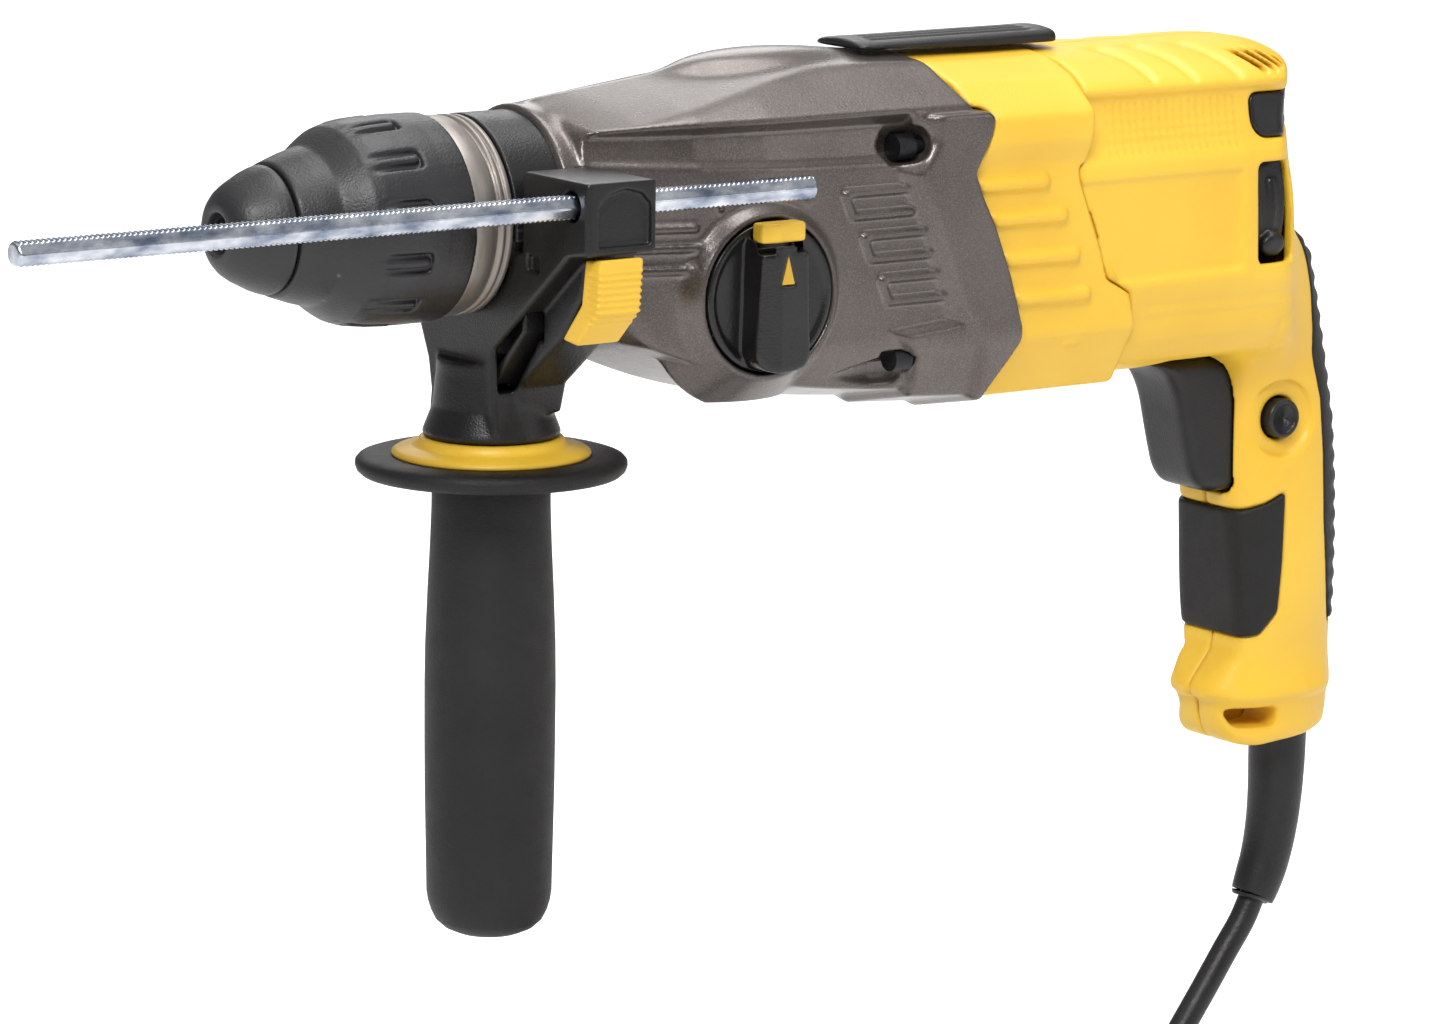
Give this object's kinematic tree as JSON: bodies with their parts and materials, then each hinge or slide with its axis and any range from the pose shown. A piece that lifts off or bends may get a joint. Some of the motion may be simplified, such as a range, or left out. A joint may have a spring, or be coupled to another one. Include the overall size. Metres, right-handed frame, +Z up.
{
  "type": "rotary hammer",
  "caption": "Corded rotary hammer with a quick-action tool holder, clamp-on side handle, depth rod, mode knob, trigger grip, internal striking gear and mains cord.",
  "frame": {"origin": "centre of the main grip, halfway down the part that the hand closes on", "axes": "+Z up, -X along the spindle towards the tool tip, -Y towards the side that carries the mode knob and depth rod"},
  "size_m": [0.4614, 0.1694, 0.3292],
  "materials": {
    "casting": "satin metallic paint on a cast housing",
    "yellow_shell": "fine-textured moulded plastic",
    "black_rubber": "matt soft rubber",
    "black_plastic": "matt glass-filled plastic",
    "cord_sheath": "satin rubber sheath",
    "zinc_steel": "bright zinc plate",
    "machined_steel": "machined and oiled",
    "ring_metal": "turned and anodised",
    "light_alloy": "die cast",
    "laminated_steel": "stacked laminations",
    "copper_winding": "enamelled copper",
    "carbon": "pressed carbon",
    "foil": "film capacitor"
  },
  "bodies": {
    "housing": {"gear_housing": "casting", "bearing_flange": "light_alloy", "motor_housing": "yellow_shell", "handle_shell_left": "yellow_shell", "handle_shell_right": "yellow_shell", "back_grip_pad": "black_rubber", "palm_pad": "black_rubber", "rear_grille": "black_plastic", "top_strip": "black_plastic", "housing_screws": "zinc_steel", "case_screws": "zinc_steel", "spindle_bearing": "machined_steel", "spindle_seal": "black_rubber", "shaft_bearings": "machined_steel", "rotor_bearings": "machined_steel", "stator_core": "laminated_steel", "field_coils": "copper_winding", "switch_body": "black_plastic", "suppressor": "foil", "cord_clamp": "black_plastic", "strain_relief": "black_rubber", "cord_lead": "cord_sheath", "cord_coil": "cord_sheath", "cord_tie": "black_plastic", "plug_body": "cord_sheath", "plug_pins": "zinc_steel"},
    "spindle": {"tool_spindle": "machined_steel", "spindle_gear": "machined_steel", "clutch_spring": "machined_steel", "dust_cap": "black_rubber", "locking_balls": "machined_steel", "sleeve_spring": "machined_steel"},
    "sleeve": {"locking_sleeve": "black_plastic"},
    "chuck_ring": {"change_ring": "ring_metal"},
    "countershaft": {"counter_shaft": "machined_steel", "counter_gear": "machined_steel", "wobble_hub": "machined_steel"},
    "wobble": {"wobble_ring": "machined_steel"},
    "piston_body": {"piston": "light_alloy"},
    "striker_body": {"striker": "machined_steel"},
    "impact_bolt_body": {"impact_bolt": "machined_steel"},
    "rotor": {"rotor_shaft": "machined_steel", "rotor_core": "laminated_steel", "commutator": "copper_winding", "cooling_fan": "black_plastic"},
    "brush_holder": {"brush_plate": "black_plastic", "carbon_brushes": "carbon"},
    "trigger_body": {"trigger": "black_plastic"},
    "lock_button_body": {"lock_button": "black_plastic"},
    "knob": {"mode_knob": "black_plastic"},
    "knob_button": {"mode_lock_button": "yellow_shell"},
    "shift_plate_body": {"shift_plate": "machined_steel"},
    "side_handle": {"handle_bracket": "black_plastic"},
    "strap": {"clamp_strap": "black_plastic", "clamp_bolt": "zinc_steel"},
    "side_grip": {"handle_grip": "black_rubber", "hand_guard": "black_plastic", "guard_ring": "yellow_shell"},
    "rod": {"depth_rod": "zinc_steel"},
    "rod_button": {"depth_button": "yellow_shell"}
  },
  "joints": [
    {"name": "rotor_spin", "type": "hinge", "parent": "housing", "child": "rotor", "pos_m": [-0.153, 0, 0.10295], "axis": [1, 0, 0], "continuous": true},
    {"name": "countershaft_spin", "type": "hinge", "parent": "housing", "child": "countershaft", "pos_m": [-0.183, 0, 0.08], "axis": [1, 0, 0], "continuous": true},
    {"name": "spindle_spin", "type": "hinge", "parent": "housing", "child": "spindle", "pos_m": [-0.253, 0, 0.115], "axis": [1, 0, 0], "continuous": true},
    {"name": "sleeve_slide", "type": "slide", "parent": "spindle", "child": "sleeve", "axis": [1, 0, 0], "range_m": [0, 0.006], "stiffness_N_per_m": 700, "springref_m": -0.012},
    {"name": "chuck_ring_turn", "type": "hinge", "parent": "spindle", "child": "chuck_ring", "pos_m": [-0.283, 0, 0.115], "axis": [1, 0, 0], "range_deg": [0, 20]},
    {"name": "wobble_tilt", "type": "hinge", "parent": "housing", "child": "wobble", "pos_m": [-0.175, 0, 0.08], "axis": [0, 1, 0], "range_deg": [-11, 11]},
    {"name": "piston_slide", "type": "slide", "parent": "housing", "child": "piston_body", "axis": [1, 0, 0], "range_m": [-0.0068, 0.0068]},
    {"name": "striker_slide", "type": "slide", "parent": "housing", "child": "striker_body", "axis": [1, 0, 0], "range_m": [-0.007, 0.006]},
    {"name": "impact_bolt_slide", "type": "slide", "parent": "housing", "child": "impact_bolt_body", "axis": [1, 0, 0], "range_m": [-0.0015, 0.004]},
    {"name": "direction_lever_turn", "type": "hinge", "parent": "housing", "child": "brush_holder", "pos_m": [-0.043, 0, 0.10295], "axis": [1, 0, 0], "range_deg": [-34, 0]},
    {"name": "trigger_pull", "type": "slide", "parent": "housing", "child": "trigger_body", "axis": [1, 0, 0], "range_m": [0, 0.006], "stiffness_N_per_m": 600, "springref_m": -0.008},
    {"name": "lock_button_press", "type": "slide", "parent": "housing", "child": "lock_button_body", "axis": [0, 1, 0], "range_m": [0, 0.003], "stiffness_N_per_m": 400, "springref_m": -0.003},
    {"name": "mode_knob_turn", "type": "hinge", "parent": "housing", "child": "knob", "pos_m": [-0.205, -0.038, 0.0925], "axis": [0, 1, 0], "range_deg": [-60, 60]},
    {"name": "mode_lock_press", "type": "slide", "parent": "knob", "child": "knob_button", "axis": [0, 0, -1], "range_m": [0, 0.0024], "stiffness_N_per_m": 500, "springref_m": -0.003},
    {"name": "shift_plate_slide", "type": "slide", "parent": "housing", "child": "shift_plate_body", "axis": [1, 0, 0], "range_m": [-0.0036, 0.0036]},
    {"name": "side_handle_swivel", "type": "hinge", "parent": "housing", "child": "side_handle", "pos_m": [-0.267, 0, 0.115], "axis": [1, 0, 0], "range_deg": [-110, 0]},
    {"name": "side_grip_twist", "type": "hinge", "parent": "side_handle", "child": "side_grip", "pos_m": [-0.267, 0, -0.015], "axis": [0, 0, 1], "range_deg": [0, 720]},
    {"name": "strap_loosen", "type": "slide", "parent": "side_handle", "child": "strap", "axis": [0, 0, 1], "range_m": [0, 0.0026]},
    {"name": "depth_rod_slide", "type": "slide", "parent": "side_handle", "child": "rod", "axis": [1, 0, 0], "range_m": [-0.04, 0.06]},
    {"name": "depth_button_press", "type": "slide", "parent": "side_handle", "child": "rod_button", "axis": [0, 1, 0], "range_m": [0, 0.002], "stiffness_N_per_m": 500, "springref_m": -0.003}
  ],
  "couplings": [
    {"joint": "countershaft_spin", "follows": "rotor_spin", "ratio": -0.21429},
    {"joint": "spindle_spin", "follows": "rotor_spin", "ratio": 0.053571},
    {"joint": "piston_slide", "follows": "wobble_tilt", "m_per_rad": 0.035},
    {"joint": "shift_plate_slide", "follows": "mode_knob_turn", "m_per_rad": 0.0034},
    {"joint": "strap_loosen", "follows": "side_grip_twist", "m_per_rad": 0.00019894}
  ]
}
